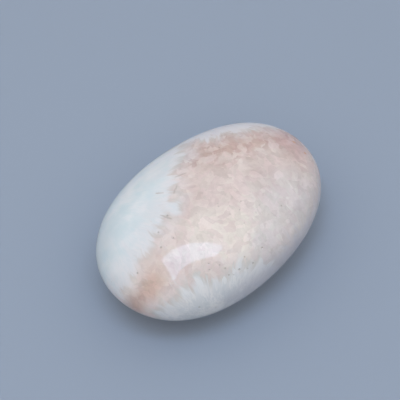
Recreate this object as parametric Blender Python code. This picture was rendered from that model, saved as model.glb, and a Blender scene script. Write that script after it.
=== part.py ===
"""A polished palm stone of scolecite: one hand-lapped oval pebble of mineral.

The stone is a solid of its own, with nothing set in it or fixed to it. Seen
from above it is an egg-shaped oval, a little off true because it was ground by
hand. From the side it is a flattened ellipsoid: a domed crown above the
girdle, which is its widest level, and a slightly shallower belly below it. The
belly is lapped to a small flat, which is what the stone rests on.

Frame: metres, +Z up, +X along the longest extent. The origin is at the centre
of the plan, at the level of the resting flat.
"""

import math

import bmesh
import bpy
from mathutils import Vector

# Driving dimensions, in metres.
LENGTH = 0.066
WIDTH = 0.0447
CROWN = 0.0130  # from the girdle up to the top
BELLY = 0.0120  # from the girdle down to the resting flat
FLAT_DEPTH = 0.0004  # how much of the belly the lapping took away

# 2 gives a true ellipse in every upright section, and more gives full shoulders.
FULLNESS = 2.1

# How the hand-ground plan leaves a true ellipse. Each wave is (waves around the
# plan, height as a share of the radius, direction of its first crest in degrees).
PLAN_WAVES = (
    (1, 0.060, 155.0),
    (2, 0.015, -45.0),
    (3, 0.0095, 0.0),
    (4, 0.015, 41.0),
)

# The ball that the stone is shaped from is a cube with this many cells along an
# edge, blown up round, so that its faces have nearly one size.
CELLS = 24
SMALLEST = 1e-7

STONE_COLOR = (0.62, 0.56, 0.53, 1.0)
STONE_ROUGHNESS = 0.12


def clear_scene():
    for item in list(bpy.data.objects):
        bpy.data.objects.remove(item, do_unlink=True)


def polished_stone():
    """The material: pale, fine-grained mineral with a gloss polish."""
    material = bpy.data.materials.new("polished_stone")
    material.use_nodes = True
    shader = material.node_tree.nodes["Principled BSDF"]
    shader.inputs["Base Color"].default_value = STONE_COLOR
    shader.inputs["Roughness"].default_value = STONE_ROUGHNESS
    shader.inputs["Metallic"].default_value = 0.0
    material.diffuse_color = STONE_COLOR
    return material


def blown_up(corner):
    """A point of the cube from -1 to 1, moved onto the unit ball with even spacing."""
    even = Vector([math.tan(value * math.pi / 4) for value in corner])
    return even.normalized()


def plan_share(around):
    """The plan's radius in a direction, as a share of the true ellipse's radius."""
    share = 1.0
    for count, height, crest in PLAN_WAVES:
        share += height * math.cos(count * (around - math.radians(crest)))
    return share


def ground_to_shape(point):
    """A point of the unit ball, moved onto the stone, with the girdle at z = 0."""
    around = math.atan2(point.y, point.x)
    level = math.asin(max(-1.0, min(1.0, point.z)))
    reach = math.cos(level) ** (2 / FULLNESS) * plan_share(around)
    rise = abs(math.sin(level)) ** (2 / FULLNESS)
    depth = CROWN if level > 0 else -(BELLY + FLAT_DEPTH)
    return Vector(
        (
            LENGTH / 2 * reach * math.cos(around),
            WIDTH / 2 * reach * math.sin(around),
            depth * rise,
        )
    )


def extent(bm, axis):
    values = [vert.co[axis] for vert in bm.verts]
    return min(values), max(values)


def trim_to_size(bm):
    """Scales the plan to LENGTH by WIDTH exactly, and centres it on the origin."""
    for axis, size in ((0, LENGTH), (1, WIDTH)):
        low, high = extent(bm, axis)
        for vert in bm.verts:
            vert.co[axis] = (vert.co[axis] - (low + high) / 2) * size / (high - low)


def lap_resting_flat(bm):
    """Cuts the belly off level, closes the cut with one flat face and stands it at z = 0."""
    everything = list(bm.verts) + list(bm.edges) + list(bm.faces)
    bmesh.ops.bisect_plane(
        bm,
        geom=everything,
        dist=SMALLEST,
        plane_co=(0, 0, -BELLY),
        plane_no=(0, 0, 1),
        clear_inner=True,
    )
    rim = [edge for edge in bm.edges if edge.is_boundary]
    bmesh.ops.contextual_create(bm, geom=rim)
    bmesh.ops.translate(bm, verts=bm.verts, vec=(0, 0, BELLY))


def stone_mesh():
    bm = bmesh.new()
    bmesh.ops.create_cube(bm, size=2.0)
    bmesh.ops.subdivide_edges(bm, edges=bm.edges, cuts=CELLS - 1, use_grid_fill=True)
    for vert in bm.verts:
        vert.co = ground_to_shape(blown_up(vert.co))
    trim_to_size(bm)
    lap_resting_flat(bm)
    bmesh.ops.recalc_face_normals(bm, faces=bm.faces)
    mesh = bpy.data.meshes.new("scolecite_stone")
    bm.to_mesh(mesh)
    bm.free()
    mesh.shade_smooth()
    mesh.set_sharp_from_angle(angle=math.radians(30))
    return mesh


def make_stone():
    mesh = stone_mesh()
    mesh.materials.append(polished_stone())
    stone = bpy.data.objects.new("scolecite_stone", mesh)
    bpy.context.scene.collection.objects.link(stone)
    return stone


clear_scene()
make_stone()
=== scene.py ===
# %% [markdown]
# # A polished palm stone of scolecite
#
# Scolecite is a zeolite: a pale mineral that grows as sprays of hair-fine
# needles, fanned out from a point. This stone was sawn from a mass of such
# sprays, ground to a hand-filling oval and polished to a gloss. The whole look
# is in two things, the smooth ground form and the solid pattern that the
# grinding laid bare, so the lesson models the form first and then grows the
# pattern in depth, so that it carries on over the sides and the underside.
#
# The plain solid is loaded first. It is the fixed frame that everything else is
# measured from.

# %% Load the frame
import math
import random
from collections import namedtuple

import bpy
import numpy as np
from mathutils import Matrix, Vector


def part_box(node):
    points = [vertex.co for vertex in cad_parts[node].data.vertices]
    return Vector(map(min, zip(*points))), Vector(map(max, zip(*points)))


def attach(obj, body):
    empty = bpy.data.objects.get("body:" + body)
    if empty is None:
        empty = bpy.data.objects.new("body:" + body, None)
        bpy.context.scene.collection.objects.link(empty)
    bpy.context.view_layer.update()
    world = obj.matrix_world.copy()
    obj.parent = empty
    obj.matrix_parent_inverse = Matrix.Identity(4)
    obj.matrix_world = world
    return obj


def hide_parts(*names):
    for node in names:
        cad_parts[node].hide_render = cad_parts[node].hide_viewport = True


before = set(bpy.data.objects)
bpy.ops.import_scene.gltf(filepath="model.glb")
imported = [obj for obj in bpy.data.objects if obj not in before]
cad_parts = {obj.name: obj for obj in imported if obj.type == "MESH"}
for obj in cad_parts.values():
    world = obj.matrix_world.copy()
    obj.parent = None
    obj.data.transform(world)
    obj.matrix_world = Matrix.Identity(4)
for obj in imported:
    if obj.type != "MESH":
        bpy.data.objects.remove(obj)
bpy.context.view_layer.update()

low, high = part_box("scolecite_stone")
LENGTH, WIDTH, HEIGHT = high - low
print("stone, mm:", [round(side * 1000, 1) for side in (LENGTH, WIDTH, HEIGHT)])

# %% [markdown]
# ## The camera
#
# The stone is looked down on at 55 degrees, with its length running away to the
# upper right. A long lens from a third of a metre away keeps the oval from
# swelling towards the viewer. The camera is made first, so that each later step
# can be judged through it.

# %% The camera
VIEW_ELEVATION = math.radians(55.0)
VIEW_TURN = math.radians(-47.65)
VIEW_DISTANCE = 0.3219
AIM = Vector((0.00198, 0.00575, 0.0120))
LENS_MM = 112.5
SENSOR_MM = 36.0
NEAREST = 0.01


def toward(turn, elevation):
    """The unit vector from the stone to a viewer at this turn and elevation."""
    flat = math.cos(elevation)
    return Vector((math.sin(turn) * flat, -math.cos(turn) * flat, math.sin(elevation)))


bpy.ops.object.select_all(action="DESELECT")
back = toward(VIEW_TURN, VIEW_ELEVATION)
bpy.ops.object.camera_add(
    location=AIM + VIEW_DISTANCE * back,
    rotation=back.to_track_quat("Z", "Y").to_euler(),
)
camera = bpy.context.object
camera.name = "camera"
camera.data.lens = LENS_MM
camera.data.sensor_width = SENSOR_MM
camera.data.clip_start = NEAREST
bpy.context.scene.camera = camera
print("camera at", [round(value, 3) for value in camera.location])

# %% [markdown]
# ## The floor and the room
#
# A gloss stone shows its lamps as clearly as its own colour, so the place it
# lies in is part of the work. It could be a built room, but a plain pale floor
# and an even world colour give the same soft light and nothing to mirror. The
# floor is matt, because a shiny one would show a second stone.

# %% Floor and room
FLOOR_SIDE = 4.0
FLOOR_COLOR = (0.335, 0.385, 0.47, 1.0)
FLOOR_ROUGHNESS = 0.9
FLOOR_SHEEN = 0.1
ROOM_COLOR = (1.0, 0.99, 0.97, 1.0)
ROOM_STRENGTH = 0.36

bpy.ops.mesh.primitive_plane_add(size=FLOOR_SIDE, location=(0, 0, 0))
floor = bpy.context.object
floor.name = "floor"
floor_finish = bpy.data.materials.new("pale_floor")
floor_finish.use_nodes = True
floor_shader = floor_finish.node_tree.nodes["Principled BSDF"]
floor_shader.inputs["Base Color"].default_value = FLOOR_COLOR
floor_shader.inputs["Roughness"].default_value = FLOOR_ROUGHNESS
floor_shader.inputs["Specular IOR Level"].default_value = FLOOR_SHEEN
floor.data.materials.append(floor_finish)

room = bpy.data.worlds.new("soft_room")
room.use_nodes = True
room_light = room.node_tree.nodes["Background"]
room_light.inputs["Color"].default_value = ROOM_COLOR
room_light.inputs["Strength"].default_value = ROOM_STRENGTH
bpy.context.scene.world = room
bpy.context.scene.view_settings.view_transform = "Standard"
print("floor side, m:", FLOOR_SIDE, "room strength:", ROOM_STRENGTH)

# %% [markdown]
# ## The window
#
# The one clear highlight on the dome is a bent bar with a tail, the reflection
# of a window. A square lamp would give a plain dot there. So a bright card is
# cut to the outline that the dome bends into that shape. It starts as a circle
# with one corner for each point of the outline, and the corners are then moved.

# %% The bent window
# Directions over the stone as the viewer has them: to the right, and away.
TO_RIGHT = Vector((math.cos(VIEW_TURN), math.sin(VIEW_TURN), 0))
AWAY = Vector((-math.sin(VIEW_TURN), math.cos(VIEW_TURN), 0))
UP = Vector((0, 0, 1))
WINDOW_HEIGHT = 0.80
WINDOW_GLOW = 4.0
WINDOW_COLOR = (0.80, 1.01, 1.32, 1.0)
# The outline of the window, as shares of its height: (to the right, away).
WINDOW_OUTLINE = (
    (-0.35, -0.07),
    (-0.31, -0.18),
    (-0.24, -0.36),
    (-0.17, -0.59),
    (-0.14, -0.48),
    (-0.11, -0.35),
    (-0.05, -0.27),
    (0.03, -0.21),
    (0.17, -0.21),
    (0.35, -0.22),
    (0.39, -0.13),
    (0.28, -0.04),
    (0.11, 0.03),
    (-0.06, 0.08),
    (-0.17, 0.07),
    (-0.27, 0.01),
)

bpy.ops.object.select_all(action="DESELECT")
bpy.ops.mesh.primitive_circle_add(
    vertices=len(WINDOW_OUTLINE), fill_type="NGON", location=(0, 0, 0)
)
window = bpy.context.object
window.name = "window"
for corner, (right, away) in zip(window.data.vertices, WINDOW_OUTLINE):
    corner.co = (TO_RIGHT * right + AWAY * away + UP) * WINDOW_HEIGHT
window_light = bpy.data.materials.new("window_light")
window_light.use_nodes = True
window_shader = window_light.node_tree.nodes["Principled BSDF"]
window_shader.inputs["Base Color"].default_value = (0, 0, 0, 1)
window_shader.inputs["Emission Color"].default_value = WINDOW_COLOR
window_shader.inputs["Emission Strength"].default_value = WINDOW_GLOW
window.data.materials.append(window_light)
print("window corners:", len(window.data.vertices))

# %% [markdown]
# ## The ceiling lamp
#
# The crown also has a soft top light with no edge of its own, as from a pale
# ceiling. A small lamp would add a second highlight, so this is one wide, weak
# panel overhead. Its power follows from its size, so that a wider panel stays
# just as bright to look at.

# %% The ceiling lamp
CEILING_GLOW = 0.46
CEILING_COLOR = (1.0, 0.985, 0.94)
CEILING_HEIGHT = 0.95
CEILING_SIDE = 4.0

bpy.ops.object.light_add(type="AREA", location=(0, 0, CEILING_HEIGHT))
ceiling = bpy.context.object
ceiling.name = "ceiling"
ceiling.data.shape = "SQUARE"
ceiling.data.color = CEILING_COLOR
ceiling.data.size = CEILING_SIDE
ceiling.data.energy = CEILING_GLOW * math.pi * CEILING_SIDE**2
print("ceiling lamp, watts:", round(ceiling.data.energy, 1))

# %% [markdown]
# ## The ground form
#
# A lapidary grinds the stone to an oval by eye. Seen from above it is an egg,
# blunt at one end and a little flat along one side, and seen from the side it
# is a flattened ellipse with slightly full shoulders. It could be a sphere that
# is scaled flat, but a sphere's poles pinch the mesh just where the highlight
# falls, and scaling alone gives no egg. So it starts from a cube, cut into a
# fine grid and blown up round, which has no poles, and one formula then sets
# how far each direction reaches.

# %% The formula of the form
BELLY_SHARE = 0.48  # of the height that lies below the girdle, the widest level
BELLY = HEIGHT * BELLY_SHARE
CROWN = HEIGHT - BELLY
FLAT_DEPTH = 0.0004  # what the lap takes off the belly
FULLNESS = 2.1  # 2 is a plain ellipse from the side, and more is fuller
# Each wave of the plan: (waves around it, height as a share, direction of a crest in degrees).
PLAN_WAVES = (
    (1, 0.060, 155.0),
    (2, 0.015, -45.0),
    (3, 0.0095, 0.0),
    (4, 0.015, 41.0),
)


def on_ball(points):
    """Points of the cube from -1 to 1, moved onto the unit ball with even spacing."""
    even = np.tan(np.clip(points, -1, 1) * math.pi / 4)
    return even / np.linalg.norm(even, axis=1, keepdims=True)


def ground(ball):
    """Points of the unit ball, moved onto the stone, with the girdle at z = 0."""
    around = np.arctan2(ball[:, 1], ball[:, 0])
    level = np.arcsin(np.clip(ball[:, 2], -1, 1))
    share = 1.0
    for count, height, crest in PLAN_WAVES:
        share = share + height * np.cos(count * (around - math.radians(crest)))
    reach = np.cos(level) ** (2 / FULLNESS) * share
    rise = np.abs(np.sin(level)) ** (2 / FULLNESS)
    depth = np.where(level > 0, CROWN, -(BELLY + FLAT_DEPTH))
    shaped = np.column_stack((reach * np.cos(around), reach * np.sin(around), rise * depth))
    for axis, size in ((0, LENGTH), (1, WIDTH)):
        least, most = shaped[:, axis].min(), shaped[:, axis].max()
        shaped[:, axis] = (shaped[:, axis] - (least + most) / 2) * size / (most - least)
    return shaped


print("crown and belly, mm:", [round(part * 1000, 1) for part in (CROWN, BELLY)])

# %% A cube, cut fine and blown up to a ball
CELLS = 100  # along each side of the cube


def points_of(mesh):
    """The places of a mesh's points, one row each."""
    places = np.empty(len(mesh.vertices) * 3)
    mesh.vertices.foreach_get("co", places)
    return places.reshape(-1, 3)


def move_points(mesh, places):
    """Moves a mesh's points to these places, one row each."""
    mesh.vertices.foreach_set("co", np.ravel(places))
    mesh.update()


bpy.ops.object.select_all(action="DESELECT")
bpy.ops.mesh.primitive_cube_add(size=2.0, location=(0, 0, 0))
stone = bpy.context.object
stone.name = "polished_scolecite"
bpy.ops.object.mode_set(mode="EDIT")
bpy.ops.mesh.select_all(action="SELECT")
bpy.ops.mesh.subdivide(number_cuts=CELLS - 1)
bpy.ops.object.mode_set(mode="OBJECT")
move_points(stone.data, on_ball(points_of(stone.data)))
print("ball:", len(stone.data.polygons), "faces")

# %% [markdown]
# ## Pits in the polish
#
# Where needles meet badly the mass has small voids, and grinding opens some of
# them as pits a few tenths of a millimetre across, darkened a little in colour.
# A bump texture would draw them, but a real dent also breaks the highlight and
# the outline of the mesh, so each is modelled.
# The clear ones on the crown are placed one by one, and the ones on the sides
# and the belly are scattered by a seeded draw, the same at each run.

# %% Where the pits are
# Pits on the crown: (x, y) on the plan and the radius, in millimetres.
CROWN_PITS = (
    (-17.8, 1.6, 0.34),
    (-13.0, 2.9, 0.36),
    (-20.2, -1.6, 0.36),
    (-16.3, -2.4, 0.28),
    (-8.2, -2.2, 0.20),
    (-27.9, -1.1, 0.30),
    (-15.3, -12.9, 0.24),
    (-13.4, -14.7, 0.26),
    (-16.3, -13.7, 0.24),
    (-13.0, -16.0, 0.28),
    (-13.2, -17.5, 0.26),
    (-10.5, -18.3, 0.36),
    (-12.4, -18.1, 0.24),
    (-7.3, -17.4, 0.26),
    (-6.7, -19.3, 0.30),
    (-8.5, -19.3, 0.24),
    (-2.3, -18.6, 0.30),
    (-2.3, -4.2, 0.22),
    (-3.0, -4.9, 0.24),
    (1.9, -7.6, 0.26),
    (0.1, -9.2, 0.24),
    (9.1, -14.9, 0.30),
    (-2.7, -8.1, 0.20),
    (-1.7, -12.1, 0.20),
    (4.7, -11.4, 0.20),
    (11.4, 7.6, 0.32),
    (16.2, 5.3, 0.24),
    (26.7, 5.3, 0.22),
)
SIDE_PITS = 40  # on the sides and the belly
SIDE_SEED = 11
SIDE_TOP = 0.35 * CROWN  # above the girdle; no scattered pit lies higher
SIDE_RADII = (0.00016, 0.00032)  # least and most, in metres


def pit_places(ball):
    """(place on the stone, radius) of each pit, in metres."""
    formed = ground(ball)
    upper = formed[:, 2] > 0
    found = []
    for x, y, radius in CROWN_PITS:
        gap = np.hypot(formed[:, 0] - x / 1000, formed[:, 1] - y / 1000)
        nearest = np.argmin(np.where(upper, gap, 1.0))
        found.append((formed[nearest], radius / 1000))
    draw = random.Random(SIDE_SEED)
    side = np.flatnonzero(formed[:, 2] < SIDE_TOP)
    for _ in range(SIDE_PITS):
        chosen = side[draw.randrange(len(side))]
        found.append((formed[chosen], draw.uniform(*SIDE_RADII)))
    return found


pits = pit_places(points_of(stone.data))
print("pits:", len(pits))

# %% [markdown]
# ## A finer mesh around each pit
#
# A pit is about as wide as one face of the grid, so there are too few points yet
# to dent. The whole stone could be cut finer, but that spends faces where
# nothing happens. So only the faces near a pit are selected and subdivided, and
# those nearest to it a second time. This is done while the stone is still a
# ball, because the new points then go through the same grinding as the rest.

# %% Cut the mesh finer around each pit
FINE_REACHES = (2.6, 1.625)  # how far round a pit each cut goes, in pit radii
FINE_MARGIN = 0.0002


def select_near_pits(mesh, reach):
    """Selects the faces that come within reach, in pit radii, of a pit."""
    formed = ground(points_of(mesh))
    corners = [list(face.vertices) for face in mesh.polygons]
    middles = np.array([formed[ids].mean(axis=0) for ids in corners])
    chosen = np.zeros(len(middles), bool)
    for place, radius in pits:
        chosen |= np.linalg.norm(middles - place, axis=1) < reach * radius + FINE_MARGIN
    mesh.polygons.foreach_set("select", chosen)
    mesh.vertices.foreach_set("select", np.zeros(len(mesh.vertices), bool))
    mesh.edges.foreach_set("select", np.zeros(len(mesh.edges), bool))
    mesh.update()
    return int(chosen.sum())


for reach in FINE_REACHES:
    count = select_near_pits(stone.data, reach)
    bpy.ops.object.mode_set(mode="EDIT")
    bpy.ops.mesh.select_mode(type="FACE")
    bpy.ops.mesh.subdivide(number_cuts=1)
    bpy.ops.object.mode_set(mode="OBJECT")
    ball = points_of(stone.data)
    move_points(stone.data, ball / np.linalg.norm(ball, axis=1, keepdims=True))
    print("refined", count, "faces")

# %% [markdown]
# ## Grinding and lapping
#
# The ball now takes the stone's form. The stone rests on a small flat under its
# belly. It could be pressed flat by moving points, but that leaves a soft edge,
# and a lap wheel leaves a clear one. So a plane cuts the belly level, the part
# below it is thrown away, and the cut is closed with one face.

# %% Grind to form and lap the resting flat
SAME_PLACE = 1e-7
LEVEL = 0.999  # how nearly a face has to point straight down to count as the flat

move_points(stone.data, ground(points_of(stone.data)))
bpy.ops.object.mode_set(mode="EDIT")
bpy.ops.mesh.select_all(action="SELECT")
bpy.ops.mesh.bisect(
    plane_co=(0, 0, -BELLY),
    plane_no=(0, 0, 1),
    use_fill=True,
    clear_inner=True,
    threshold=SAME_PLACE,
)
bpy.ops.mesh.select_all(action="SELECT")
bpy.ops.transform.translate(value=(0, 0, BELLY))
bpy.ops.mesh.normals_make_consistent(inside=False)
bpy.ops.object.mode_set(mode="OBJECT")

flats = [face for face in stone.data.polygons if face.normal.z < -LEVEL and face.center.z < 1e-6]
print("resting flat, mm2:", round(sum(face.area for face in flats) * 1e6, 1))

# %% [markdown]
# ## Sinking the pits
#
# Each pit is a soft-sided cup, deepest in the middle. A boolean with a ball
# would leave a hard rim, and the polish has rounded these. So the points inside
# a pit are pushed in along their normals. How deep each was sunk is kept as an
# attribute of the mesh, so that the finish can darken the pits in just the
# right places.

# %% Sink the pits
PIT_DEPTH_SHARE = 0.45  # depth of a pit, in its radii
CUP_POWER = 1.5  # more makes the rim softer and the bottom narrower
FULL_PIT_SHARE = 2.0  # the pit share is full from the deepest pit's depth over this


def sink_pits(mesh):
    """Moves the points inside each pit inwards, and keeps how deep as the attribute pit."""
    places = points_of(mesh)
    outward = np.empty(len(mesh.vertices) * 3)
    mesh.vertex_normals.foreach_get("vector", outward)
    outward = outward.reshape(-1, 3)
    sunk = np.zeros(len(places))
    for place, radius in pits:
        centre = place + np.array((0, 0, BELLY))
        span = np.linalg.norm(places - centre, axis=1) / radius
        cup = np.clip(1 - span**2, 0, 1) ** CUP_POWER
        sunk = np.maximum(sunk, cup * (radius * PIT_DEPTH_SHARE))
    move_points(mesh, places - outward * sunk[:, None])
    layer = mesh.attributes.new("pit", "FLOAT", "POINT")
    layer.data.foreach_set("value", np.clip(sunk / sunk.max() * FULL_PIT_SHARE, 0, 1))
    return sunk


depths = sink_pits(stone.data)
bpy.ops.object.select_all(action="DESELECT")
stone.select_set(True)
bpy.context.view_layer.objects.active = stone
bpy.ops.object.shade_smooth()
print("deepest pit, mm:", round(depths.max() * 1000, 3), "faces:", len(stone.data.polygons))

# %% [markdown]
# ## A short hand for shader nodes
#
# The finish takes several hundred shader nodes. Placed by hand they would be a
# wall of boxes, so these helpers add one node each, wire its inputs and give
# back its output, and the recipe below then reads as arithmetic. The first ones
# work on plain numbers and on places, which in a shader are vectors.

# %% Helpers for numbers and places
finish = bpy.data.materials.new("polished_stone")
finish.use_nodes = True
tree = finish.node_tree


def wire(value, socket):
    """Links an output to a socket, or sets the socket to a plain number or colour."""
    if isinstance(value, bpy.types.NodeSocket):
        tree.links.new(value, socket)
    else:
        socket.default_value = value


def number(operation, first, second=0.0, clamp=False):
    """One operation on two numbers."""
    made = tree.nodes.new("ShaderNodeMath")
    made.operation = operation
    made.use_clamp = clamp
    wire(first, made.inputs[0])
    wire(second, made.inputs[1])
    return made.outputs[0]


def plus(first, second):
    return number("ADD", first, second)


def minus(first, second):
    return number("SUBTRACT", first, second)


def times(first, second):
    return number("MULTIPLY", first, second)


def swing(pattern, amount):
    """A pattern that runs about 0.5, made to run about 0, and this much stronger."""
    return times(minus(pattern, 0.5), amount)


def vector(operation, first, second=None):
    """One operation on two places. A length, a distance and a dot product give a number."""
    made = tree.nodes.new("ShaderNodeVectorMath")
    made.operation = operation
    wire(first, made.inputs[0])
    if second is not None:
        wire(second, made.inputs[1])
    return made.outputs[1 if operation in ("LENGTH", "DISTANCE", "DOT_PRODUCT") else 0]


def scaled(first, factor):
    """A place, drawn out or in by one factor."""
    made = tree.nodes.new("ShaderNodeVectorMath")
    made.operation = "SCALE"
    wire(first, made.inputs[0])
    wire(factor, made.inputs[3])
    return made.outputs[0]


def ease(value, start, end, first=0.0, last=1.0):
    """Goes smoothly from first to last as value goes from start to end."""
    made = tree.nodes.new("ShaderNodeMapRange")
    made.interpolation_type = "SMOOTHSTEP"
    for name, item in (
        ("Value", value),
        ("From Min", start),
        ("From Max", end),
        ("To Min", first),
        ("To Max", last),
    ):
        wire(item, made.inputs[name])
    return made.outputs["Result"]


print("nodes in a new finish:", len(tree.nodes))

# %% [markdown]
# ## Noise, cells and colours
#
# All that is uneven in the stone comes from two textures that fill space: soft
# noise, for what drifts, and random cells, for what is broken up in grains.
# Both are read at a place in the solid, never on the surface. Colours are given
# as they look on a screen and turned into the light they give back.

# %% Helpers for textures and colours


def noise(where, scale, detail=2.0, rough=0.5, color=False):
    """Soft noise from 0 to 1 about 0.5. scale is waves to the unit of the place."""
    made = tree.nodes.new("ShaderNodeTexNoise")
    wire(where, made.inputs["Vector"])
    made.inputs["Scale"].default_value = scale
    made.inputs["Detail"].default_value = detail
    made.inputs["Roughness"].default_value = rough
    return made.outputs["Color" if color else "Fac"]


def grains(where, scale, smooth):
    """Random cells, each with one colour. smooth blends the cells into each other."""
    made = tree.nodes.new("ShaderNodeTexVoronoi")
    made.feature = "SMOOTH_F1" if smooth else "F1"
    wire(where, made.inputs["Vector"])
    made.inputs["Scale"].default_value = scale
    if smooth:
        made.inputs["Smoothness"].default_value = smooth
    return made.outputs["Color"]


def blend(share, first, second, way="MIX"):
    """The first colour with a share of the second one over it."""
    made = tree.nodes.new("ShaderNodeMix")
    made.data_type = "RGBA"
    made.blend_type = way
    wire(share, made.inputs["Factor"])
    wire(first, made.inputs[6])
    wire(second, made.inputs[7])
    return made.outputs[2]


def part_of(color, channel):
    """One of a colour's three numbers."""
    made = tree.nodes.new("ShaderNodeSeparateColor")
    wire(color, made.inputs[0])
    return made.outputs[channel]


def paint(red, green, blue):
    """A colour as it looks on a screen, from 0 to 255, as the light it gives back."""
    linear = [((value / 255 + 0.055) / 1.055) ** 2.4 for value in (red, green, blue)]
    return (*linear, 1.0)


MM = 1000.0
solid = tree.nodes.new("ShaderNodeTexCoord")
place = scaled(solid.outputs["Object"], MM)
print("middle grey gives back", round(paint(128, 128, 128)[0], 3), "of the light")

# %% [markdown]
# ## Where the sprays are
#
# Each spray of needles fans out from a point, its nucleus, and ends in a ragged
# front where it ran into its neighbours. The stone was cut from between several
# of them, so their nuclei lie near or past its rim. A pattern drawn on the
# surface would slide off at the sides. Here each point of the solid asks along
# which ray it lies from the nucleus, and everything follows from that: bundles
# are random cells of rays, and needles are noise that changes quickly from ray
# to ray and hardly at all along a ray.
#
# The front is the shell of a large ball, set with broad lobes, with one spike
# for each bundle, rounded at its tip, and with fine hairs. Where the front has a
# large tongue or notch of its own, a swell pushes it out or draws it in.

# %% The spray pattern
# front and still are depths in mm, behind the ragged front and behind the plain ball. filled is the
# share that the spray covers, needles is its pattern, and crevice the seams between its bundles,
# where a painted shadow line darkens the front.
Spray = namedtuple("Spray", "front filled needles crevice still")

# Waves to the unit of ray: the broad lobes, the hairs, the needles, the sharp and hazy stretches.
LOBES, HAIRS, NEEDLES, STRETCHES = 6.0, 34.0, 30.0, 4.0
LOBE_HEIGHT = 1.6  # mm
ROUNDING = 0.6  # how far the sides of a bundle stay behind its middle, as a share of the spike
HAIR_LENGTH = 1.1  # as a share of the spike
BEND, BEND_WAVES = 0.10, 0.25  # how far a ray strays, and in how many waves to the mm
DRIFT = 0.006  # how the bundles change along a ray, for each mm
ALONG = 0.10  # waves of the needles along a ray, to the mm
BUNDLE_TONE = 0.12  # how much one bundle differs from the next
SHARP, HAZY = 1.4, 3.8  # width of the front in mm, where it is sharp and where it is hazy


def fans(ray, count):
    """(random shade, distance from the middle) of the bundle at each ray. count is how fine."""
    made = tree.nodes.new("ShaderNodeTexVoronoi")
    wire(ray, made.inputs["Vector"])
    made.inputs["Scale"].default_value = count
    return part_of(made.outputs["Color"], 0), made.outputs["Distance"]


def spray(nucleus, middle, reach, spike, fine, spread=1.0, start=0.0, swells=()):
    """The pattern of one spray. Places and lengths are in mm.

    The needles fan out from nucleus, and more of fine gives finer bundles. The front is a ball of
    radius reach round middle, with spikes of this length, and spread times as soft as usual. start
    picks another stretch of the noise. A swell is a place, a radius and how far the front bulges.
    """
    arm = vector("SUBTRACT", place, nucleus)
    ray = vector("ADD", vector("NORMALIZE", arm), (start, 0, 0))
    bent = vector("ADD", ray, scaled(noise(arm, BEND_WAVES, 1.0, color=True), BEND))
    shade, aside = fans(vector("ADD", bent, scaled(arm, DRIFT)), fine)

    still = minus(reach, vector("DISTANCE", place, middle))
    lobed = plus(still, swing(noise(ray, LOBES, 1.0), LOBE_HEIGHT))
    tips = plus(swing(shade, spike), times(times(aside, aside), -ROUNDING * spike))
    front = plus(lobed, tips)
    for centre, radius, bulge in swells:
        front = plus(front, ease(vector("DISTANCE", place, centre), radius, 0.0, 0.0, bulge))
    hairs = noise(scaled(bent, HAIRS), 1.0, 2.0, 0.6)
    front = plus(front, swing(hairs, HAIR_LENGTH * spike))

    soft = ease(noise(ray, STRETCHES, 0.0), 0.40, 0.60, SHARP * spread, HAZY * spread)
    filled = ease(number("DIVIDE", front, soft), -0.7, 0.7)
    needles = noise(vector("ADD", scaled(bent, NEEDLES), scaled(arm, ALONG)), 1.0, 3.0, 0.6)
    needles = plus(needles, swing(shade, BUNDLE_TONE))
    return Spray(front, filled, needles, ease(aside, 0.30, 0.55), still)


print("a spray gives:", ", ".join(Spray._fields))

# %% [markdown]
# ## The five sprays
#
# Five sprays make up this stone: the icy one at the back left, with a tongue
# that points to the middle, the one at the near left with its row of short
# plumes, one at the near right, one at the back right and one that comes up
# from underneath. They could be made one by one, but in the mineral they grew by
# one rule, so each is the same pattern, grown from its own nucleus. A swell with
# a minus sign is a notch.

# %% The five sprays
TONGUE = ((-10.3, 2.1, 24.3), 4.2, 3.9)
TONGUE_ROOT = ((-9.8, 5.0, 24.2), 3.2, 1.7)
TONGUE_HEEL = ((-13.9, 4.4, 23.6), 2.6, 1.7)
TONGUE_GAP = ((-8.5, 5.5, 24.1), 2.3, -2.8)
TOP_NOTCH = ((-2.6, 10.2, 23.7), 4.0, -1.5)
BLUNT_BULGE = ((-23.6, 0.2, 21.2), 4.0, 1.2)
BACK_NOTCH = ((8.6, 15.4, 20.7), 5.5, -3.2)
PLUMES = (
    ((-19.1, -12.4, 20.4), 3.0, 0.9),
    ((-15.6, -15.5, 19.9), 3.5, -1.1),
    ((-8.4, -16.9, 20.4), 3.5, 0.9),
    ((0.5, -20.3, 17.0), 6.5, -2.0),
)
back_left = spray(
    nucleus=(-20.0, 21.0, 17.0),
    middle=(-71.0, 121.0, 71.0),
    reach=140.1,
    spike=1.8,
    fine=9.0,
    start=83.3,
    swells=(TONGUE, TONGUE_ROOT, TONGUE_HEEL, TONGUE_GAP, TOP_NOTCH, BLUNT_BULGE),
)
near_left = spray(
    nucleus=(-24.0, -28.0, 8.0),
    middle=(-65.0, -142.5, -8.0),
    reach=140.3,
    spike=2.0,
    fine=10.0,
    spread=0.65,
    start=125.8,
    swells=PLUMES,
)
near_right = spray(
    nucleus=(8.0, -32.0, 4.0),
    middle=(15.0, -30.0, -60.0),
    reach=78.5,
    spike=1.6,
    fine=14.0,
    spread=2.5,
)
back_right = spray(
    nucleus=(22.0, 22.0, 14.0),
    middle=(50.0, 75.0, 14.0),
    reach=75.2,
    spike=2.2,
    fine=11.0,
    spread=1.6,
    start=161.5,
    swells=(BACK_NOTCH,),
)
below = spray(
    nucleus=(9.0, 3.0, -13.0),
    middle=(9.0, 3.0, -13.0),
    reach=18.0,
    spike=6.0,
    fine=11.0,
)
print("spray nodes:", len(tree.nodes))

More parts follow.
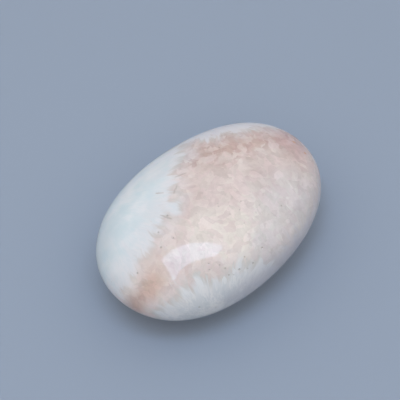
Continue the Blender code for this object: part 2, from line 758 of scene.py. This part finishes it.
# %% [markdown]
# ## The felted heart
#
# Between the sprays the mass is a felt of short bundles of needles lying every
# way. Cut through, it shows flakes a millimetre or two long, each with a tone
# of its own, and in each flake the strokes run in one direction. Plain noise
# has no edges, and brushed strokes drawn one by one would not go round the
# sides. So random cells are used twice. The wide ones stand for bundles, and
# each turns the place by its own random angles. Small cells and a noise, both
# stretched and read at the turned place, then give every bundle its flakes and
# its strokes in its own direction.

# %% The felted heart
FULL_TURN = 6.283
STRETCH = 0.40  # width of a flake as a share of its length
FLAKE_WAVES, FLAKE_WAVER = 1.1, 1.2  # how ragged the edges of the flakes are
FLAKE_BLEND = 0.06  # how far one flake runs into the next
STROKE_WAVES = 2.0  # strokes across a flake


def swirled(amount, scale):
    """The place, bent by slow noise: amount in mm, scale in waves to the mm."""
    drift = vector("SUBTRACT", noise(place, scale, 1.0, color=True), (0.5, 0.5, 0.5))
    return vector("ADD", place, scaled(drift, amount))


def bundles(size, flake):
    """(random colour of each flake, its strokes). Bundles are size mm wide, flakes 1 / flake."""
    spin = scaled(grains(loose, 1.0 / size, 0.0), FULL_TURN)
    turned = tree.nodes.new("ShaderNodeVectorRotate")
    turned.rotation_type = "EULER_XYZ"
    wire(place, turned.inputs["Vector"])
    wire(spin, turned.inputs["Rotation"])
    grain = vector("MULTIPLY", turned.outputs[0], (flake * STRETCH, flake, flake))
    wavy = scaled(noise(grain, FLAKE_WAVES, 1.0, color=True), FLAKE_WAVER)
    strokes = noise(grain, STROKE_WAVES, 2.0, 0.6)
    return grains(vector("ADD", grain, wavy), 1.0, FLAKE_BLEND), strokes


loose = swirled(3.2, 0.35)
wide_flake, wide_strokes = bundles(5.0, 0.56)
fine_flake, fine_strokes = bundles(3.0, 1.05)
# How much each layer counts in the light and dark of the felt.
FLECK_SHARES = (
    (0.34, part_of(wide_flake, 0)),
    (0.17, part_of(fine_flake, 0)),
    (0.29, wide_strokes),
    (0.14, fine_strokes),
    (0.50, noise(place, 0.22, 1.0)),
)
flecks = 0.5
for share, layer in FLECK_SHARES:
    flecks = plus(flecks, swing(layer, share))
print("felt layers:", len(FLECK_SHARES), "nodes so far:", len(tree.nodes))

# %% [markdown]
# ## Zones of tone in the heart
#
# The heart isn't one tone. It is rosiest in a band along the back right spray,
# where water carried iron in and stained it in patches, and creamiest near the
# middle of the near side. Each zone could be a colour of its own, but where two
# of them meet that gives a third colour that the mineral doesn't have. So one
# number, the tone, is raised and lowered from place to place, and only then
# turned into a colour. The edges of the stain follow the wide flakes, because
# one bundle soaks it up and the next doesn't.

# %% Zones of tone
FLAKY_EDGE = 0.16  # how strongly the stain follows the flakes
# Soft patches that lighten or darken the tone: (amount, middle, radii in mm).
TONE_PATCHES = (
    (-0.14, (18.0, 4.6, 22.8), (6.5, 4.0, 5.0)),
    (0.22, (-6.5, -9.5, 23.0), (10.0, 7.0, 9.0)),
    (0.28, (-1.5, -14.5, 21.5), (9.0, 6.5, 9.0)),
    (-0.08, (-17.5, -9.5, 21.5), (6.0, 5.0, 6.0)),
    (-0.15, (8.3, 4.2, 24.6), (4.5, 4.0, 4.0)),
)


def cloud(middle, radii, bend=2.5):
    """1 within 0.3 of a patch's radii and 0 outside 1.3 of them. Sizes are in mm."""
    aside = vector("DIVIDE", vector("SUBTRACT", swirled(bend, 0.3), middle), radii)
    return ease(vector("LENGTH", aside), 1.3, 0.3)


def shift(tone, where, amount):
    """The tone, raised or lowered by this amount where there is a patch."""
    return plus(tone, times(where, amount))


# The tone rises in two steps away from the back right spray, and drifts slowly everywhere.
tone = ease(back_right.still, -3.0, -8.0, 0.34, 0.46)
tone = plus(tone, ease(back_right.still, -10.0, -26.0, 0.0, 0.13))
tone = shift(tone, ease(noise(place, 0.12, 1.0), 0.3, 0.7, -1.0, 1.0), 0.12)
# The stain lies within about a centimetre of that spray.
flaky = times(minus(0.5, part_of(wide_flake, 0)), FLAKY_EDGE)
stained = ease(plus(noise(place, 0.30, 2.0), flaky), 0.43, 0.56)
tone = shift(tone, times(stained, ease(back_right.still, -12.0, -4.0)), -0.42)
for amount, middle, radii in TONE_PATCHES:
    tone = shift(tone, cloud(middle, radii), amount)

ROSE = paint(206, 178, 169)
PEACH = paint(225, 208, 202)
CREAM = paint(241, 229, 220)
heart = blend(ease(tone, -0.10, 0.60), ROSE, PEACH)
heart = blend(ease(tone, 0.45, 1.05), heart, CREAM)
print("tone patches:", len(TONE_PATCHES), "nodes so far:", len(tree.nodes))

# %% [markdown]
# ## Zones of colour
#
# Some patches differ in colour and not only in tone. A grey mist lies over the
# near side, the blunt end is stained apricot, tan and rust in the gap between
# two sprays, the narrow end is mauve, and there is a little lavender beside the
# back right spray. They could be painted on the surface, but a stain soaks in.
# So each is a soft patch of the solid, and its colour is laid over the heart
# before the flakes are, so that they show through it.

# %% Zones of colour
MIST = paint(222, 221, 223)
APRICOT = paint(226, 203, 192)
TAN = paint(214, 185, 171)
RUST = paint(204, 174, 163)
MAUVE = paint(206, 176, 174)
LAVENDER = paint(231, 226, 227)
# (share, middle, radii in mm, how bent the edge is, colour).
COLOR_PATCHES = (
    (0.40, (11.5, -14.0, 19.5), (13.0, 9.0, 11.0), 2.5, MIST),
    (0.45, (-0.8, -18.3, 19.7), (5.5, 4.5, 5.5), 2.5, MIST),
    (0.45, (-26.0, -4.6, 19.3), (6.6, 5.2, 8.0), 2.0, APRICOT),
    (0.90, (-28.2, -5.4, 18.2), (4.0, 3.6, 4.6), 2.0, TAN),
    (0.85, (-32.0, -4.4, 14.5), (3.2, 3.2, 5.0), 2.0, RUST),
    (0.60, (26.5, -2.0, 18.5), (6.0, 9.0, 7.0), 2.5, MAUVE),
    (0.40, (4.5, 13.0, 22.2), (5.0, 4.0, 4.0), 2.5, LAVENDER),
)


def tinted(under, patches):
    """A colour with soft patches of other colours laid over it."""
    for share, middle, radii, bend, over in patches:
        under = blend(times(cloud(middle, radii, bend), share), under, over)
    return under


heart = tinted(heart, COLOR_PATCHES)
print("colour patches:", len(COLOR_PATCHES), "nodes so far:", len(tree.nodes))

# %% [markdown]
# ## Light and dark flecks
#
# The flakes and strokes of the felt are laid on last. They multiply the colour
# under them, as a thin grey or white grain does, so a fleck in the rosy band
# stays rosy. Flakes also differ a very little in hue, some to blush and some to
# buff, which keeps the felt from looking printed in one ink.

# %% Light and dark flecks over the zones
DIM = (0.80, 0.77, 0.77, 1.0)
LIT = (1.18, 1.21, 1.21, 1.0)
BLUSH = (1.01, 0.985, 0.992, 1.0)
BUFF = (0.995, 1.003, 0.988, 1.0)
hue = ease(part_of(wide_flake, 1), 0.3, 0.7)
heart = blend(1.0, heart, blend(flecks, DIM, LIT), "MULTIPLY")
heart = blend(1.0, heart, blend(hue, BLUSH, BUFF), "MULTIPLY")
print("heart done, nodes so far:", len(tree.nodes))

# %% [markdown]
# ## Laying the sprays over the heart
#
# The sprays are milky, with an icy blue depth and slow clouds of thicker milk.
# Their needles show most near the front, where the milk is thin and a little
# lavender. Single needles run on past the front into the heart, a haze of fine
# ones veils it, and thin painted shadow lines darken the seams between the
# bundles at the rim. Each spray could be a shader of its own, but one base
# colour is simpler to follow: the sprays are laid over the heart one after the
# other, as coats of glaze.

# %% Lay the sprays over the heart
MILK_CLOUDS = 2.5  # strength of the slow clouds in the milk
QUIET = 0.22  # contrast of the needles deep in the milk, as a share of that at the front
FRONT_WIDTH = 8.0  # mm behind the front in which its colour fades
FRONT_SHARE = 0.85
SEAM_SHADOW_SHARE = 0.50
STRAY_SHARE = 0.55


def lay(under, laid, deep, bright, front_color, contrast, share=1.0, veil=0.30):
    """The surface with one spray over it. veil is how milky the heart is just past the front."""
    # The needles are quiet deep in the milk and crisp half a millimetre behind the front.
    crisp = ease(laid.front, 6.0, 0.5, QUIET * contrast, contrast)
    clouds = swing(noise(place, 0.22, 2.0), MILK_CLOUDS)
    shine = plus(plus(times(minus(laid.needles, 0.5), crisp), clouds), 0.5)
    silk = blend(ease(shine, 0.0, 1.0), deep, bright)
    silk = blend(ease(laid.front, FRONT_WIDTH, 0.0, 0.0, FRONT_SHARE), silk, front_color)
    # The painted shadow lines in the seams lie at the rim, from 1.5 mm before the front to 2.5 mm
    # behind it.
    near_edge = times(ease(laid.front, 2.5, 0.3), ease(laid.front, -1.5, 0.0))
    silk = blend(times(times(laid.crevice, near_edge), SEAM_SHADOW_SHARE), silk, SEAM_SHADOW_COLOR)
    # The brightest needles run on for up to 4 mm, and so does the haze.
    past_front = ease(laid.still, -4.0, -0.5, 0.0, STRAY_SHARE)
    stray = times(ease(laid.needles, 0.56, 0.72), past_front)
    haze = ease(laid.front, -4.0, 0.5, 0.0, veil)
    filled = number("MAXIMUM", number("MAXIMUM", laid.filled, stray), haze)
    return blend(times(filled, share), under, silk)


ICE = paint(216, 226, 229)
MILK = paint(233, 234, 235)
PEARL = paint(232, 231, 230)
STEEL = paint(208, 211, 214)
# The ash grey of the near right spray's depth, also used for painted shade.
ASH_AND_PAINTED_SHADE = paint(186, 184, 194)
# The colour of the painted shadow lines in the seams between bundles at the front.
SEAM_SHADOW_COLOR = paint(196, 188, 178)
DUSK = paint(203, 199, 205)
SHELL = paint(219, 211, 216)
PALE_SHELL = paint(228, 222, 225)
FROST = paint(229, 227, 227)
surface = lay(heart, below, ICE, PEARL, LAVENDER, 3.0)
# The near right spray's ash grey depth is partly its own colour and partly painted shade on the
# near rim.
surface = lay(surface, near_right, ASH_AND_PAINTED_SHADE, STEEL, DUSK, 1.5, share=0.75)
surface = lay(surface, back_right, SHELL, PALE_SHELL, LAVENDER, 2.5)
surface = lay(surface, near_left, STEEL, PEARL, FROST, 9.5)
surface = lay(surface, back_left, ICE, MILK, LAVENDER, 3.6, veil=0.40)
print("sprays laid, nodes so far:", len(tree.nodes))

# %% [markdown]
# ## Last tints and painted shade
#
# A few patches go over the sprays as well. The stain at the blunt end creeps a
# little way into the milk, the back left spray is bluest low on its far side,
# and an ash grey painted shade runs along the near side at the girdle. They are
# made as the zones of colour were, and come last because nothing lies over them.

# %% Last tints and painted shade
DEEP = paint(200, 211, 216)
# (share, middle, radii in mm, how bent the edge is, colour).
LAST_PATCHES = (
    (0.40, (-23.8, -2.2, 21.1), (4.0, 3.4, 4.5), 1.5, APRICOT),
    (0.60, (-27.0, 13.0, 14.0), (11.0, 8.0, 7.5), 2.5, DEEP),
    # Painted shade: an ash grey band darkens the near side along the girdle.
    (0.65, (-6.0, -23.5, 11.5), (20.0, 6.2, 7.2), 2.5, ASH_AND_PAINTED_SHADE),
)
surface = tinted(surface, LAST_PATCHES)
print("last tints:", len(LAST_PATCHES), "nodes so far:", len(tree.nodes))

# %% [markdown]
# ## Painted shadow lines at the front
#
# Along the front of the back left spray, under its tongues, thin dark shadow
# lines are painted. They are no deeper than the polish, so they are colour and
# not form. A shadow line is all that lies near a short line in the solid. It is
# darkest half way along and fades to both ends, because an even line looks drawn.

# %% Painted shadow lines at the front
SHADOW_LINE_COLOR = paint(172, 156, 146)
SHADOW_LINE_FADE = 2.2  # more keeps the shadow line dark nearer to its ends
# (one end, the other end, half the width, darkest share), in mm.
SHADOW_LINES = (
    ((-13.9, 4.6, 23.6), (-13.0, 1.2, 24.0), 0.36, 0.48),
    ((-3.4, 9.5, 23.7), (-0.1, 8.0, 24.2), 0.32, 0.45),
    ((-4.9, 7.2, 24.2), (-7.4, 6.0, 24.2), 0.34, 0.42),
    ((-9.8, 10.0, 23.2), (-8.5, 8.2, 23.7), 0.26, 0.55),
)
wavering = swirled(0.6, 0.8)


def shadow_line(start, end, half_width, darkest):
    """A share that is darkest half way along a line and fades to its ends and its sides."""
    span = Vector(end) - Vector(start)
    arm = vector("SUBTRACT", wavering, start)
    along = number("DIVIDE", vector("DOT_PRODUCT", arm, span), span.length_squared)
    along = number("MINIMUM", number("MAXIMUM", along, 0.0), 1.0)
    gap = vector("LENGTH", vector("SUBTRACT", arm, scaled(span, along)))
    hump = times(along, minus(1.0, along))
    shallow = number("MINIMUM", times(hump, 4.0 * SHADOW_LINE_FADE), 1.0)
    return times(ease(gap, half_width, 0.1 * half_width, 0.0, darkest), shallow)


# Each painted shadow line darkens the colour along a short line at the front.
for start, end, half_width, darkest in SHADOW_LINES:
    surface = blend(shadow_line(start, end, half_width, darkest), surface, SHADOW_LINE_COLOR)
print("creases:", len(SHADOW_LINES), "nodes so far:", len(tree.nodes))

# %% [markdown]
# ## Rust specks and darkened pits
#
# Two grains of iron oxide sit at the narrow end, and the pits are darkened a
# little towards grey brown. A speck is a small soft patch round a point. The
# pits need no list of places here: they read the attribute that was kept when
# they were sunk, so the darkening lies exactly in the dents.

# %% Specks and pits
SPECK_COLOR = paint(214, 172, 148)
PIT_COLOR = paint(158, 144, 135)
PIT_DARKENING_SHARE = 0.45
SPECKS = (((28.3, -3.2, 19.0), 0.80), ((27.9, -7.3, 18.4), 0.65))  # (place, radius), in mm
SPECK_CORE = 0.3  # share of the radius that is full rust
for centre, size in SPECKS:
    dot = ease(vector("DISTANCE", swirled(0.5, 1.2), centre), size, size * SPECK_CORE)
    surface = blend(dot, surface, SPECK_COLOR)
pit = tree.nodes.new("ShaderNodeAttribute")
pit.attribute_name = "pit"
sunk_share = pit.outputs["Fac"]
# The pits are darkened in colour, most where they were sunk deepest.
surface = blend(times(sunk_share, PIT_DARKENING_SHARE), surface, PIT_COLOR)
print("specks:", len(SPECKS), "nodes so far:", len(tree.nodes))

# %% [markdown]
# ## The polish
#
# A cerium polish leaves the surface almost mirror smooth, with a faint
# unevenness where soft and hard needles wore differently. A perfect mirror
# would look like glass, so the roughness drifts a little and a very shallow
# bump bends the highlight. The body is slightly translucent, which the
# subsurface share gives.

# %% The polish
REFRACTION = 1.52
GLOW_SHARE = 0.25
GLOW_REACH = (1.0, 0.75, 0.62)  # red light travels furthest
GLOW_DEPTH = 0.0012
SMOOTHEST, WEAR = 0.045, 0.05  # least roughness, and the most that wear adds
WEAR_WAVES, BUMP_WAVES = 1.4, 0.9  # to the mm
PIT_ROUGHNESS = 0.6
BUMP_SHARE = 0.2
BUMP_HEIGHT = 0.00004

shader = tree.nodes["Principled BSDF"]
wire(surface, shader.inputs["Base Color"])
shader.inputs["IOR"].default_value = REFRACTION
shader.inputs["Subsurface Weight"].default_value = GLOW_SHARE
shader.inputs["Subsurface Radius"].default_value = GLOW_REACH
shader.inputs["Subsurface Scale"].default_value = GLOW_DEPTH
worn = plus(times(noise(place, WEAR_WAVES, 2.0), WEAR), SMOOTHEST)
gloss = number("ADD", worn, times(sunk_share, PIT_ROUGHNESS), clamp=True)
wire(gloss, shader.inputs["Roughness"])

bump = tree.nodes.new("ShaderNodeBump")
bump.inputs["Strength"].default_value = BUMP_SHARE
bump.inputs["Distance"].default_value = BUMP_HEIGHT
wire(noise(loose, BUMP_WAVES, 2.0), bump.inputs["Height"])
wire(bump.outputs["Normal"], shader.inputs["Normal"])

stone.data.materials.clear()
stone.data.materials.append(finish)
print("finish:", len(tree.nodes), "nodes")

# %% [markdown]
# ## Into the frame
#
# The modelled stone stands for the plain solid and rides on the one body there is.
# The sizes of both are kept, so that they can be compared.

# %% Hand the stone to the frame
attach(stone, "root")
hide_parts("scolecite_stone")
